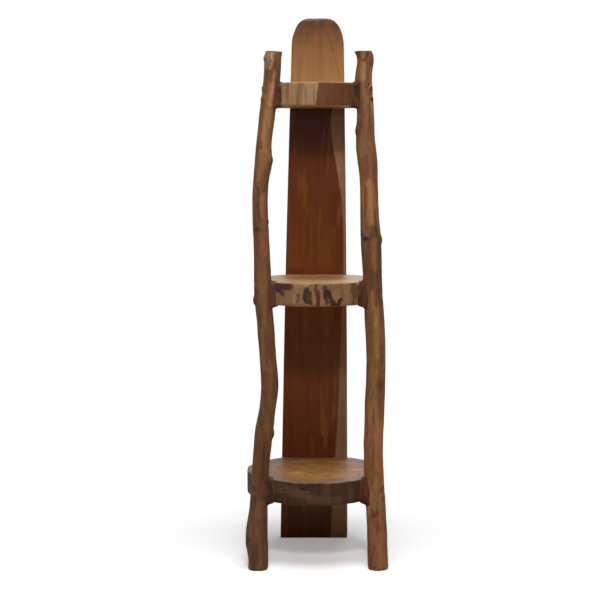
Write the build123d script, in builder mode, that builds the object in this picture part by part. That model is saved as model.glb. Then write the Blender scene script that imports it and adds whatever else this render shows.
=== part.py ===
"""Three-tier corner shelf: two peeled branches, three log slices and a tongue-shaped back board.

The branches are the front legs, the board is the back leg, and each slice is screwed to all
three. The corner between a branch and a slice is packed with a paste of glue and sawdust.

Frame, in millimetres: +X to the right seen from the front, +Y to the back, +Z up. The origin is
on the floor, under the middle of the object.
"""

import os
from collections import namedtuple
from math import cos, radians, sin, sqrt

from build123d import *

# Heights above the floor
board_height = 1000.0
post_height = 930.0
bottom_shelf_height = 160.0
middle_shelf_height = 515.0
top_shelf_height = 872.5

# Back board, a plank that tapers up to a rounded crown
board_foot_width = 131.0
board_shoulder_width = 100.0
board_thickness = 22.0
board_side_belly = 1.7
board_foot_shift = -2.8
board_shoulder_shift = 3.7
board_arris = 1.5
crown_round_height = 55.0
crown_round_width = 28.0
crown_rise = 1.5
crown_angles = (25.0, 50.0, 75.0)

# Log slices
shelf_thickness = 42.5
bottom_shelf_radius = 128.0
middle_shelf_radius = 115.0
top_shelf_radius = 97.0
bottom_shelf_shift = 1.8
middle_shelf_shift = 1.8
top_shelf_shift = -1.0
bottom_shelf_turn = 20.0
middle_shelf_turn = 75.0
top_shelf_turn = 140.0
shelf_flat_margin = 2.5
shelf_rim_ease = 3.0
shelf_oval_swell = 1.0
shelf_lobe_swell = 1.2
rim_step = 24

# Branches: how deep they are let into the slices, and the room round them there
post_bite = 5.0
notch_clearance = 0.3
post_end_ease = 2.0
left_foot_splay = (-2.8, 25.0)
right_foot_splay = (5.2, 25.0)
left_top_splay = (7.8, -6.0)
right_top_splay = (-3.5, -7.0)

# Paste in the corners between branches and slices
filler_shift = 6.0
filler_swell = 4.0
filler_below = 9.0
filler_above = 6.0
filler_feather = 1.5

# Wood screws
screw_head_diameter = 7.6
screw_head_height = 2.6
screw_head_rim = 0.4
screw_shank_diameter = 4.2
screw_tip_length = 6.0
screw_recess_width = 1.2
screw_recess_length = 4.4
screw_recess_depth = 1.6
screw_clearance = 0.15
board_screw_length = 50.0
board_screw_spacing = 62.0
board_screw_sink = 0.5
post_screw_length = 60.0
post_screw_spacing = 19.0
post_screw_sink = 2.0
post_screw_mouth = 8.0

# Pruned twig near the top of the left branch
stub_below_top = 17.0
stub_foot_diameter = 25.0
stub_face_diameter = 18.0
stub_reach = 17.5
stub_bearing = -62.0
stub_rise = 24.0

Bend = namedtuple("Bend", "share right forward girth")
Shelf = namedtuple("Shelf", "name height radius shift turn")
Station = namedtuple("Station", "x y z radius")
Post = namedtuple("Post", "name bearings girths foot_splay top_splay bends")

shelves = [
    Shelf("bottom", bottom_shelf_height, bottom_shelf_radius, bottom_shelf_shift, bottom_shelf_turn),
    Shelf("middle", middle_shelf_height, middle_shelf_radius, middle_shelf_shift, middle_shelf_turn),
    Shelf("top", top_shelf_height, top_shelf_radius, top_shelf_shift, top_shelf_turn),
]

# A bend lies at a share of its span, sways right and forward of the straight line between the
# ends of that span, and has a girth, which is the branch's diameter there. The spans are foot to
# bottom shelf, bottom to middle, middle to top, and top shelf to the branch's end. Bearings are
# degrees from straight ahead, seen from each shelf's centre. Girths are at foot, shelves and end.
left_branch = Post(
    "left",
    bearings=(-48.3, -51.3, -56.0),
    girths=(36.8, 32.4, 31.2, 30.0, 32.0),
    foot_splay=left_foot_splay,
    top_splay=left_top_splay,
    bends=(
        (Bend(0.16, 0.3, 0.0, 37.0), Bend(0.43, -3.0, 1.0, 39.4), Bend(0.74, -1.4, 0.5, 34.0)),
        (
            Bend(0.16, 2.6, 1.0, 31.8),
            Bend(0.29, 6.4, 2.0, 32.6),
            Bend(0.40, 11.4, 2.5, 30.6),
            Bend(0.53, 14.9, 2.0, 31.4),
            Bend(0.65, 11.6, 1.0, 30.8),
            Bend(0.80, 7.1, 0.0, 31.4),
            Bend(0.92, 2.7, 0.0, 31.0),
        ),
        (
            Bend(0.10, -1.5, 0.0, 31.2),
            Bend(0.27, -6.2, -1.5, 29.4),
            Bend(0.44, -10.6, -3.0, 28.4),
            Bend(0.56, -10.5, -3.0, 29.0),
            Bend(0.655, -7.4, -2.0, 32.4),
            Bend(0.73, -7.5, -1.5, 29.2),
            Bend(0.83, -5.3, -1.0, 29.0),
            Bend(0.94, -2.1, 0.0, 29.8),
        ),
        (Bend(0.5, 0.7, 0.5, 30.8),),
    ),
)
right_branch = Post(
    "right",
    bearings=(49.2, 51.5, 51.0),
    girths=(37.0, 36.0, 34.4, 31.6, 33.4),
    foot_splay=right_foot_splay,
    top_splay=right_top_splay,
    bends=(
        (Bend(0.16, -0.3, 0.0, 37.4), Bend(0.43, 0.4, 0.5, 37.6), Bend(0.74, 0.8, 0.5, 36.6)),
        (
            Bend(0.20, -2.4, -1.0, 35.0),
            Bend(0.37, -0.7, -1.5, 35.4),
            Bend(0.50, 1.7, -2.0, 35.0),
            Bend(0.65, 3.8, -1.0, 34.6),
            Bend(0.82, 2.8, 0.0, 36.2),
            Bend(0.93, 1.1, 0.0, 34.8),
        ),
        (
            Bend(0.10, 0.0, 0.5, 34.4),
            Bend(0.26, 0.0, 1.5, 36.4),
            Bend(0.44, -0.1, 2.0, 33.4),
            Bend(0.60, 0.5, 2.0, 34.2),
            Bend(0.68, -0.7, 1.5, 36.6),
            Bend(0.77, -1.9, 1.0, 35.0),
            Bend(0.87, 0.0, 0.5, 32.0),
        ),
        (Bend(0.5, 0.8, 0.0, 31.6),),
    ),
)


def board_half_width(height):
    """Half the board's width at a height, without the belly of its sides."""
    share = height / (board_height - crown_round_height)
    return (board_foot_width + share * (board_shoulder_width - board_foot_width)) / 2


def board_middle(height):
    """Where the board's centre line stands, left to right, at a height."""
    share = height / (board_height - crown_round_height)
    return board_foot_shift + share * (board_shoulder_shift - board_foot_shift)


def crown_point(side, angle):
    """A point of the crown's rounded corner, which is a quarter of an ellipse."""
    inner = board_shoulder_width / 2 - crown_round_width
    right = inner + crown_round_width * cos(radians(angle))
    rise = (crown_round_height - crown_rise) * sin(radians(angle))
    return board_shoulder_shift + side * right, board_height - crown_round_height + rise


def shelf_middle(shelf):
    """The height of the middle of a slice's edge."""
    return shelf.height - shelf_thickness / 2


def shelf_depth(shelf):
    """How far a slice's centre stands in front of the board, for a flat as wide as the board."""
    half_flat = board_half_width(shelf_middle(shelf)) + shelf_flat_margin
    return sqrt(max(shelf.radius**2 - half_flat**2, 0.0))


def rim_radius(shelf, bearing):
    """A slice's radius in a direction: a round log, a little oval and lobed."""
    angle = radians(bearing + shelf.turn)
    return shelf.radius + shelf_oval_swell * cos(2 * angle) + shelf_lobe_swell * sin(3 * angle)


def anchor(post, index):
    """Where a branch's centre passes a shelf: right of the middle, and in front of the board."""
    shelf = shelves[index]
    bearing = post.bearings[index]
    reach = rim_radius(shelf, bearing) + post.girths[index + 1] / 2 - post_bite
    right = board_middle(shelf_middle(shelf)) + shelf.shift + reach * sin(radians(bearing))
    return right, shelf_depth(shelf) + reach * cos(radians(bearing))


def knots_of(post):
    """The five fixed places of a branch, foot to end, as right, forward, height and girth."""
    places = [(*anchor(post, index), shelf_middle(shelf)) for index, shelf in enumerate(shelves)]
    foot = (places[0][0] + post.foot_splay[0], places[0][1] + post.foot_splay[1], 0.0)
    end = (places[-1][0] + post.top_splay[0], places[-1][1] + post.top_splay[1], post_height)
    return [(*place, girth) for place, girth in zip([foot, *places, end], post.girths)]


foot_reach = max(knots_of(post)[0][1] + post.girths[0] / 2 for post in (left_branch, right_branch))
slice_reach = max(shelf_depth(shelf) + shelf.radius for shelf in shelves)
board_front = (max(foot_reach, slice_reach) - board_thickness) / 2
board_back = board_front + board_thickness


def stations_of(post):
    """Every round section of a branch, from the floor up."""
    knots = knots_of(post)
    stations = [Station(knots[0][0], board_front - knots[0][1], knots[0][2], knots[0][3] / 2)]
    for low, high, bends in zip(knots, knots[1:], post.bends):
        for bend in bends:
            right = low[0] + bend.share * (high[0] - low[0]) + bend.right
            forward = low[1] + bend.share * (high[1] - low[1]) + bend.forward
            height = low[2] + bend.share * (high[2] - low[2])
            stations.append(Station(right, board_front - forward, height, bend.girth / 2))
        stations.append(Station(high[0], board_front - high[1], high[2], high[3] / 2))
    return stations


def section_at(stations, height):
    """A branch's section at any height, on the straight line between its stations."""
    for low, high in zip(stations, stations[1:]):
        if height <= high.z:
            share = (height - low.z) / (high.z - low.z)
            return Station(*(a + share * (b - a) for a, b in zip(low, high)))
    return stations[-1]


def branch(stations, extra=0.0):
    """A branch lofted through its sections, each one larger by extra all round."""
    with BuildPart() as blank:
        for station in stations:
            with BuildSketch(Plane.XY.offset(station.z)):
                with Locations((station.x, station.y)):
                    Circle(station.radius + extra)
        loft()
    return blank.part


def whole_slice(shelf):
    """A slice of a log, sawn flat where it meets the board, before its rim is eased."""
    centre_x = board_middle(shelf_middle(shelf)) + shelf.shift
    centre_y = board_front - shelf_depth(shelf)
    rim = [
        (
            centre_x + rim_radius(shelf, bearing) * sin(radians(bearing)),
            centre_y - rim_radius(shelf, bearing) * cos(radians(bearing)),
        )
        for bearing in range(0, 360, rim_step)
    ]
    with BuildPart() as blank:
        with BuildSketch(Plane.XY.offset(shelf.height - shelf_thickness)):
            with BuildLine():
                Spline(rim, periodic=True)
            make_face()
        extrude(amount=shelf_thickness)
        split(bisect_by=Plane(origin=(0, board_front, 0), z_dir=(0, -1, 0)))
    return blank.part


def screw_shape(length, swell=0.0, mouth=0.0):
    """A countersunk screw along Z with its face at zero, or with swell and mouth, its hole."""
    head = screw_head_diameter / 2 + swell
    shank = screw_shank_diameter / 2 + swell
    with BuildPart() as shape:
        with BuildSketch(Plane.XZ):
            with BuildLine():
                Polyline(
                    (0, mouth),
                    (head, mouth),
                    (head, -screw_head_rim - swell),
                    (shank, -screw_head_height),
                    (shank, screw_tip_length - length),
                    (0, -length - swell),
                    close=True,
                )
            make_face()
        revolve(axis=Axis.Z)
        if not swell:
            with BuildSketch(Plane.XY):
                Rectangle(screw_recess_length, screw_recess_width)
                Rectangle(screw_recess_width, screw_recess_length)
            extrude(amount=-screw_recess_depth, mode=Mode.SUBTRACT)
    return shape.part


def board_screw_planes(shelf):
    """Where the screws of a shelf sit in the board's back, facing out."""
    middle = board_middle(shelf_middle(shelf))
    return [
        Plane(
            origin=(middle + side * board_screw_spacing / 2, board_back - board_screw_sink,
                    shelf_middle(shelf)),
            x_dir=(1, 0, 0),
            z_dir=(0, 1, 0),
        )
        for side in (-1, 1)
    ]


def post_screw_planes(post, stations, index):
    """Where the screws of a joint sit in the branch's outer side, facing out of the slice."""
    shelf = shelves[index]
    bearing = radians(post.bearings[index])
    outward = (sin(bearing), -cos(bearing), 0)
    planes = []
    for side in (-1, 1):
        height = shelf_middle(shelf) + side * post_screw_spacing / 2
        section = section_at(stations, height)
        reach = section.radius - post_screw_sink
        origin = (section.x + reach * outward[0], section.y + reach * outward[1], height)
        planes.append(Plane(origin=origin, x_dir=(0, 0, 1), z_dir=outward))
    return planes


def set_screws(shape, planes):
    """Copies of a screw, or of its hole, one on each plane."""
    with BuildPart() as group:
        with Locations(*[Location(plane) for plane in planes]):
            add(shape)
    return group.part


def joint_filler(post, stations, index, whole_branch, whole_slice):
    """The paste round a branch where it meets a slice, feathered out above and below it."""
    shelf = shelves[index]
    bearing = radians(post.bearings[index])
    inward = (-sin(bearing), cos(bearing))
    low, high = shelf.height - shelf_thickness, shelf.height
    rings = [
        (low - filler_below, 0.0, -filler_feather),
        (low, filler_shift, filler_swell),
        (high, filler_shift, filler_swell),
        (high + filler_above, 0.0, -filler_feather),
    ]
    with BuildPart() as filler:
        for height, shift, grow in rings:
            section = section_at(stations, height)
            with BuildSketch(Plane.XY.offset(height)):
                with Locations((section.x + shift * inward[0], section.y + shift * inward[1])):
                    Circle(section.radius + grow)
        loft(ruled=True)
        add(whole_branch, mode=Mode.SUBTRACT)
        add(whole_slice, mode=Mode.SUBTRACT)
    return filler.part


board_screw = screw_shape(board_screw_length)
board_screw_hole = screw_shape(board_screw_length, screw_clearance, board_thickness)
post_screw = screw_shape(post_screw_length)
post_screw_hole = screw_shape(post_screw_length, screw_clearance, post_screw_mouth)
posts = {post.name: (post, stations_of(post)) for post in (left_branch, right_branch)}
whole_branches = {name: branch(stations) for name, (post, stations) in posts.items()}
notch_blanks = [branch(stations, notch_clearance) for post, stations in posts.values()]
whole_slices = [whole_slice(shelf) for shelf in shelves]
pieces = {}

# Back board
with BuildPart() as back_board:
    shoulder = board_height - crown_round_height
    foot_half, top_half = board_foot_width / 2, board_shoulder_width / 2
    half_way = shoulder / 2
    belly = (foot_half + top_half) / 2 + board_side_belly
    with BuildSketch(Plane.XZ.offset(-board_back)):
        with BuildLine():
            foot = Line((board_foot_shift - foot_half, 0), (board_foot_shift + foot_half, 0))
            right_side = ThreePointArc(
                foot @ 1,
                (board_middle(half_way) + belly, half_way),
                (board_shoulder_shift + top_half, shoulder),
            )
            left_side = ThreePointArc(
                (board_shoulder_shift - top_half, shoulder),
                (board_middle(half_way) - belly, half_way),
                foot @ 0,
            )
            crown_right = [crown_point(1, angle) for angle in crown_angles]
            crown_left = [crown_point(-1, angle) for angle in reversed(crown_angles)]
            Spline(
                right_side @ 1,
                *crown_right,
                (board_shoulder_shift, board_height),
                *crown_left,
                left_side @ 0,
                tangents=(right_side % 1, left_side % 0),
            )
        make_face()
    extrude(amount=board_thickness)
    front_edges = back_board.faces().sort_by(Axis.Y)[0].edges()
    chamfer(front_edges.filter_by(lambda edge: edge.center().Z > 0), length=board_arris)
    for shelf in shelves:
        add(set_screws(board_screw_hole, board_screw_planes(shelf)), mode=Mode.SUBTRACT)
pieces["back_board"] = back_board.part

# Branches
for name, (post, stations) in posts.items():
    with BuildPart() as branch_post:
        add(whole_branches[name])
        ends = branch_post.edges().group_by(Axis.Z)
        fillet([*ends[0], *ends[-1]], radius=post_end_ease)
        if post is left_branch:
            height = post_height - stub_below_top
            section = section_at(stations, height)
            bearing, rise = radians(stub_bearing), radians(stub_rise)
            along = (sin(bearing) * cos(rise), -cos(bearing) * cos(rise), sin(rise))
            with BuildSketch(Plane(origin=(section.x, section.y, height), z_dir=along)) as root:
                Circle(stub_foot_diameter / 2)
            with BuildSketch(Plane(origin=(section.x, section.y, height), z_dir=along).offset(
                    stub_reach)) as face:
                Circle(stub_face_diameter / 2)
            loft([root.sketch, face.sketch])
        for index in range(len(shelves)):
            screw_planes = post_screw_planes(post, stations, index)
            add(set_screws(post_screw_hole, screw_planes), mode=Mode.SUBTRACT)
    pieces[f"{name}_post"] = branch_post.part

# Log slices, notched for the branches
for index, shelf in enumerate(shelves):
    with BuildPart() as log_slice:
        add(whole_slices[index])
        rim = log_slice.edges().group_by(Axis.Z)[-1].filter_by(GeomType.LINE, reverse=True)
        fillet(rim, radius=shelf_rim_ease)
        add(set_screws(board_screw_hole, board_screw_planes(shelf)), mode=Mode.SUBTRACT)
        add(notch_blanks, mode=Mode.SUBTRACT)
        for post, stations in posts.values():
            screw_planes = post_screw_planes(post, stations, index)
            add(set_screws(post_screw_hole, screw_planes), mode=Mode.SUBTRACT)
    pieces[f"{shelf.name}_shelf"] = log_slice.part

# Paste and screws
for shelf in shelves:
    pieces[f"{shelf.name}_board_screws"] = set_screws(board_screw, board_screw_planes(shelf))
for name, (post, stations) in posts.items():
    for index, shelf in enumerate(shelves):
        pieces[f"{shelf.name}_{name}_joint_filler"] = joint_filler(
            post, stations, index, whole_branches[name], whole_slices[index]
        )
        pieces[f"{shelf.name}_{name}_post_screws"] = set_screws(
            post_screw, post_screw_planes(post, stations, index)
        )

os.makedirs("parts", exist_ok=True)
for name, piece in pieces.items():
    piece.label = name
    export_step(piece, f"parts/{name}.step")
    print(name, len(piece.solids()), round(piece.volume))
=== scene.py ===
"""A rustic corner shelf, dressed for its portrait.

Three log slices hang between two crooked, peeled branches and a tongue-shaped plank. The sizes
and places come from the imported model; the knots, checks, stains and grain are added here.
Lengths are metres, +X is right seen from the front, +Y is back and +Z is up.
"""

import logging
from dataclasses import dataclass, replace
from enum import Enum
from math import cos, pi, radians, sin

import bpy
import numpy as np
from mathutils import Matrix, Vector


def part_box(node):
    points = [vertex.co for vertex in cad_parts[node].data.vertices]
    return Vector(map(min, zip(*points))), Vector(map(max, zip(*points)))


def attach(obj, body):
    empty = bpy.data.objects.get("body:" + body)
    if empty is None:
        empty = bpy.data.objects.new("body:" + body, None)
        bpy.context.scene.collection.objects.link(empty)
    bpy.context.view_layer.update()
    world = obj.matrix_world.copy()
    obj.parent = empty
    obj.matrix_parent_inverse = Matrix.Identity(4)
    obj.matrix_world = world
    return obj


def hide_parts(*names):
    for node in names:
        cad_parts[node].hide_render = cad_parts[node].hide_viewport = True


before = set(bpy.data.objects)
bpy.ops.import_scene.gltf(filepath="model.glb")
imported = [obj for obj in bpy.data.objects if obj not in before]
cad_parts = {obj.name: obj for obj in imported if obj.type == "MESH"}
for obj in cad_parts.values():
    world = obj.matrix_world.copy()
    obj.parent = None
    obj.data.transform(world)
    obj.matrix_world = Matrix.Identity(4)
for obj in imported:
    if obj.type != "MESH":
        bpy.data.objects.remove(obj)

log = logging.getLogger("corner_shelf")

MM = 0.001
MERGE_DISTANCE = 0.00001
SMOOTH_ANGLE = radians(50)
TRIANGLE_HEIGHT = 1.5
Point = tuple[float, float, float]
Colour = tuple[float, float, float, float]
WHITE: Colour = (1.0, 1.0, 1.0, 1.0)


class Slot(Enum):
    """The record's material slots."""

    BOARD = "board_wood"
    BRANCH = "branch_wood"
    SLICE = "slice_wood"
    PASTE = "joint_paste"
    SCREW = "screw_steel"


class Side(Enum):
    """The two branches, seen from the front."""

    LEFT = "left"
    RIGHT = "right"


def tone(red: int, green: int, blue: int) -> Colour:
    """A colour as a screen shows it, 0 to 255, in the linear numbers that a shader takes.

    Args:
        red: The screen's red.
        green: The screen's green.
        blue: The screen's blue.

    Returns:
        Linear red, green and blue, and an alpha of one.
    """
    linear = [((part / 255 + 0.055) / 1.055) ** 2.4 for part in (red, green, blue)]
    return (linear[0], linear[1], linear[2], 1.0)


class Value:
    """A socket in a node tree, so that sums on it are written as Python expressions."""

    def __init__(self, nodes: "Nodes", socket: bpy.types.NodeSocket) -> None:
        """Wraps a socket of a node tree."""
        self.nodes = nodes
        self.socket = socket

    def sum(self, operation: str, *others: "Value | float", clamp: bool = False) -> "Value":
        """A Math node on this value and others.

        Args:
            operation: The Math node's operation.
            others: The node's other numbers.
            clamp: Whether the answer is kept between 0 and 1.

        Returns:
            The node's answer.
        """
        settings = {"operation": operation, "use_clamp": clamp}
        inputs = dict(enumerate((self, *others)))
        return self.nodes.node("ShaderNodeMath", settings, inputs)

    def __add__(self, other: "Value | float") -> "Value":
        """This plus other."""
        return self.sum("ADD", other)

    __radd__ = __add__

    def __sub__(self, other: "Value | float") -> "Value":
        """This minus other."""
        return self.sum("SUBTRACT", other)

    def __rsub__(self, other: float) -> "Value":
        """Other minus this."""
        return (self * -1.0) + other

    def __mul__(self, other: "Value | float") -> "Value":
        """This times other."""
        return self.sum("MULTIPLY", other)

    __rmul__ = __mul__

    def __truediv__(self, other: "Value | float") -> "Value":
        """This over other."""
        return self.sum("DIVIDE", other)

    def __pow__(self, power: float) -> "Value":
        """This to a power."""
        return self.sum("POWER", power)

    def __abs__(self) -> "Value":
        """This without its sign."""
        return self.sum("ABSOLUTE")

    def clamped(self) -> "Value":
        """This kept between 0 and 1."""
        return self.sum("ADD", 0.0, clamp=True)

    def spread(self, gain: float) -> "Value":
        """A noise with its middle kept and its contrast raised, kept between 0 and 1."""
        return ((self - 0.5) * gain + 0.5).clamped()

    def step(self, low: float, high: float) -> "Value":
        """A smooth step, 0 below low and 1 above high; from 1 to 0 where low is above high."""
        settings = {"interpolation_type": "SMOOTHSTEP"}
        if low > high:
            return 1 - self.step(high, low)
        inputs = {"Value": self, "From Min": low, "From Max": high}
        return self.nodes.node("ShaderNodeMapRange", settings, inputs)


class Nodes:
    """A node tree under construction."""

    def __init__(self, tree: bpy.types.NodeTree) -> None:
        """Takes a material's or a world's tree."""
        self.tree = tree

    def node(
        self,
        kind: str,
        settings: dict | None = None,
        inputs: dict | None = None,
        output: str | int = 0,
    ) -> Value:
        """Adds a node.

        Args:
            kind: The node's type.
            settings: Its settings, or a ramp's stops, which are set first.
            inputs: A value or a link for each of its sockets that is used.
            output: The output socket that is wanted.

        Returns:
            That output.
        """
        made = self.tree.nodes.new(kind)
        for name, setting in (settings or {}).items():
            if name == "stops":
                elements = made.color_ramp.elements
                elements[0].position, elements[0].color = setting[0]
                elements[1].position, elements[1].color = setting[-1]
                for position, colour in setting[1:-1]:
                    elements.new(position).color = colour
            else:
                setattr(made, name, setting)
        self.feed(made, inputs or {})
        return Value(self, made.outputs[output])

    def feed(self, made: bpy.types.Node, inputs: dict) -> None:
        """Sets a node's sockets, or links them where they are given a value of the tree."""
        for name, given in inputs.items():
            if isinstance(given, Value):
                self.tree.links.new(given.socket, made.inputs[name])
            else:
                made.inputs[name].default_value = given

    def white_light(self, kind: str, strength: float) -> Value:
        """A white Emission or Background of a strength."""
        return self.node(kind, inputs={"Color": WHITE, "Strength": strength})

    def blend(self, share: Value, below: Value, above: Value) -> Value:
        """A Mix Shader: below where the share is 0, above where it is 1."""
        return self.node("ShaderNodeMixShader", inputs={0: share, 1: below, 2: above})

    def ray(self, kind: str) -> Value:
        """Whether the ray that looks at the surface is of a kind."""
        return self.node("ShaderNodeLightPath", output=f"Is {kind} Ray")

    def show(self, finished: Value, output: str) -> None:
        """Links a finished shader to the tree's output node."""
        self.feed(self.tree.nodes[output], {"Surface": finished})


class Shader(Nodes):
    """A material under construction: one principled surface, and the nodes that feed it."""

    def __init__(self, name: str) -> None:
        """Starts a material with an empty principled surface."""
        self.material = bpy.data.materials.new(name)
        self.material.use_nodes = True
        super().__init__(self.material.node_tree)
        self.surface = self.tree.nodes["Principled BSDF"]
        self.place = self.node("ShaderNodeTexCoord", output="Object")
        self.x, self.y, self.z = (self.part(self.place, axis) for axis in "XYZ")

    def facing(self, axis: str) -> Value:
        """How far the surface faces along an axis, from -1 to 1."""
        return self.part(self.node("ShaderNodeNewGeometry", output="Normal"), axis)

    def part(self, vector: Value, axis: str) -> Value:
        """A vector's part along an axis."""
        return self.node("ShaderNodeSeparateXYZ", inputs={0: vector}, output=axis)

    def stretched(self, scale: Point, shift: Point = (0.0, 0.0, 0.0)) -> Value:
        """The place on the piece, with each axis scaled, for a pattern that follows the grain."""
        inputs = {"Vector": self.place, "Scale": scale, "Location": shift}
        return self.node("ShaderNodeMapping", inputs=inputs)

    def noise(
        self, place: Value, scale: float, detail: float = 3.0, rough: float = 0.55,
        twist: float = 0.0,
    ) -> Value:
        """A noise.

        Args:
            place: Where each point is, scaled as the pattern needs.
            scale: How fine the noise is.
            detail: How many finer noises are laid over it.
            rough: How strong they are.
            twist: How much it is pushed about.

        Returns:
            A number between 0 and 1.
        """
        inputs = {
            "Vector": place,
            "Scale": scale,
            "Detail": detail,
            "Roughness": rough,
            "Distortion": twist,
        }
        return self.node("ShaderNodeTexNoise", inputs=inputs)

    def grain(
        self, scale: float, along: float, shift: Point = (0.0, 0.0, 0.0), detail: float = 3.0,
        rough: float = 0.55, twist: float = 0.0,
    ) -> Value:
        """A noise that is drawn out along the height, as wood is.

        Args:
            scale: How fine the noise is across the grain.
            along: How fine it is along the grain, as a share of that.
            shift: Where on the noise the piece lies.
            detail: How many finer noises are laid over it.
            rough: How strong they are.
            twist: How much it is pushed about.

        Returns:
            A number between 0 and 1.
        """
        return self.noise(self.stretched((1.0, 1.0, along), shift), scale, detail, rough, twist)

    def ramp(self, value: Value, stops: list[tuple[float, Colour]], ease: str = "LINEAR") -> Value:
        """A colour for each value.

        Args:
            value: The value.
            stops: Values, and the colour at each.
            ease: How the colour goes from one stop to the next.

        Returns:
            The colour.
        """
        made = self.node("ShaderNodeValToRGB", {"stops": stops}, {"Fac": value})
        made.socket.node.color_ramp.interpolation = ease
        return made

    def mix(self, share: Value | float, below: Value | Colour, above: Value | Colour) -> Value:
        """Below where the share is 0, above where it is 1."""
        inputs = {"Factor": share, 6: below, 7: above}
        return self.node("ShaderNodeMix", {"data_type": "RGBA"}, inputs, output=2)

    def by_height(self, steps: tuple[tuple[float, float], ...], most: float = 2.0) -> Value:
        """A number that changes softly with the height.

        Args:
            steps: Heights, and the number at each.
            most: A number that none of them is over.

        Returns:
            The number.
        """
        stops = [(height, (number / most,) * 3 + (1.0,)) for height, number in steps]
        return self.ramp(self.z, stops, ease="EASE") * most

    def vector(self, operation: str, inputs: dict, output: str | int = 0) -> Value:
        """A Vector Math node."""
        return self.node("ShaderNodeVectorMath", {"operation": operation}, inputs, output)

    def shaded(self, colour: Value | Colour, factor: Value) -> Value:
        """A colour made lighter or darker by a factor."""
        below = colour if isinstance(colour, Value) else colour[:3]
        return self.vector("SCALE", {0: below, "Scale": factor})

    def finish(
        self, colour: Value | Colour, rough: Value | float, height: Value | None = None,
        bump: float = 0.3, depth: float = 0.001, **fixed: float,
    ) -> bpy.types.Material:
        """Feeds the surface and gives the finished material.

        Args:
            colour: The base colour.
            rough: The roughness.
            height: The relief, in units of depth.
            bump: How strongly the relief shows.
            depth: The relief's depth in metres.
            fixed: Other sockets, with spaces as underscores, each with one number all over.

        Returns:
            The material.
        """
        sockets = {"Base Color": colour, "Roughness": rough}
        sockets.update({name.replace("_", " "): number for name, number in fixed.items()})
        if height is not None:
            relief = {"Height": height, "Strength": bump, "Distance": depth}
            sockets["Normal"] = self.node("ShaderNodeBump", inputs=relief)
        self.feed(self.surface, sockets)
        return self.material


@dataclass(frozen=True)
class Stain:
    """A soft-edged mark, seen from the front: a stroke from one place to another."""

    start: tuple[float, float]
    end: tuple[float, float]
    width: float
    colour: Colour
    strength: float

    def mask(self, right: Value, up: Value, edge: float = 0.72, core: float = 0.3) -> Value:
        """How much of the mark shows at each place.

        Args:
            right: How far right the place is, made uneven.
            up: How high the place is, made uneven.
            edge: Where the mark ends, as a share of its width.
            core: Where it is at its strongest, as a share of its width.

        Returns:
            From 0 off the mark to its strength on it.
        """
        run = (self.end[0] - self.start[0], self.end[1] - self.start[1])
        right, up = right - self.start[0], up - self.start[1]
        along = ((right * run[0] + up * run[1]) / (run[0] ** 2 + run[1] ** 2)).clamped()
        across = (right - along * run[0]) ** 2.0 + (up - along * run[1]) ** 2.0
        return across.sum("SQRT").step(self.width * edge, self.width * core) * self.strength


def stains(*rows: tuple[float, float, float, float, float, Colour, float]) -> tuple[Stain, ...]:
    """Marks from a row of given numbers each.

    Args:
        rows: Where the stroke starts, right and up, where it ends and its width, in millimetres,
            then its colour and its strength.

    Returns:
        The marks.
    """
    return tuple(
        Stain((right * MM, up * MM), (far_right * MM, far_up * MM), width * MM, colour, strength)
        for right, up, far_right, far_up, width, colour, strength in rows
    )


@dataclass(frozen=True)
class Knot:
    """A knot on a branch: its height, its bearing round the branch, its size and how it stands."""

    height: float
    bearing: float
    radius: float
    stretch: float = 1.6
    stand: float = 0.5
    dark: float = 0.8


def pick_only(piece: bpy.types.Object) -> None:
    """Selects one object, makes it the active one and leaves all others out."""
    bpy.ops.object.select_all(action="DESELECT")
    piece.select_set(True)
    bpy.context.view_layer.objects.active = piece


def settled() -> bpy.types.Object:
    """The new primitive, with its place, turn and scale worked into its mesh."""
    bpy.ops.object.transform_apply()
    return bpy.context.object


def twin(source: bpy.types.Object, name: str) -> bpy.types.Object:
    """A second object with a mesh of its own."""
    piece = bpy.data.objects.new(name, source.data.copy())
    piece.data.name = name
    bpy.context.scene.collection.objects.link(piece)
    return piece


def copy_of(node: str, name: str) -> bpy.types.Object:
    """A free copy of a CAD node, with its loose triangles merged.

    Args:
        node: The CAD node's name.
        name: The copy's name.

    Returns:
        The copy, ready to be shaped.
    """
    piece = twin(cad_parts[node], name)
    piece.data.materials.clear()
    pick_only(piece)
    bpy.ops.object.mode_set(mode="EDIT")
    bpy.ops.mesh.select_all(action="SELECT")
    bpy.ops.mesh.remove_doubles(threshold=MERGE_DISTANCE)
    bpy.ops.object.mode_set(mode="OBJECT")
    return piece


def apply_modifier(piece: bpy.types.Object, kind: str, **settings: object) -> None:
    """Adds a modifier to a piece, sets it and applies it.

    Args:
        piece: The piece.
        kind: The modifier's type.
        settings: The modifier's settings.
    """
    pick_only(piece)
    bpy.ops.object.modifier_add(type=kind)
    modifier = piece.modifiers[-1]
    for name, setting in settings.items():
        setattr(modifier, name, setting)
    bpy.ops.object.modifier_apply(modifier=modifier.name)


def join(piece: bpy.types.Object, others: list[bpy.types.Object]) -> None:
    """Joins other objects, if there are any, into a piece, which keeps its name."""
    if others:
        pick_only(piece)
        for other in others:
            other.select_set(True)
        bpy.ops.object.join()


def remesh(piece: bpy.types.Object, cell: float, smooth_steps: int) -> None:
    """Makes a piece one even skin and eases its edges."""
    apply_modifier(piece, "REMESH", mode="VOXEL", voxel_size=cell)
    apply_modifier(piece, "SMOOTH", factor=0.5, iterations=smooth_steps)


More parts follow.
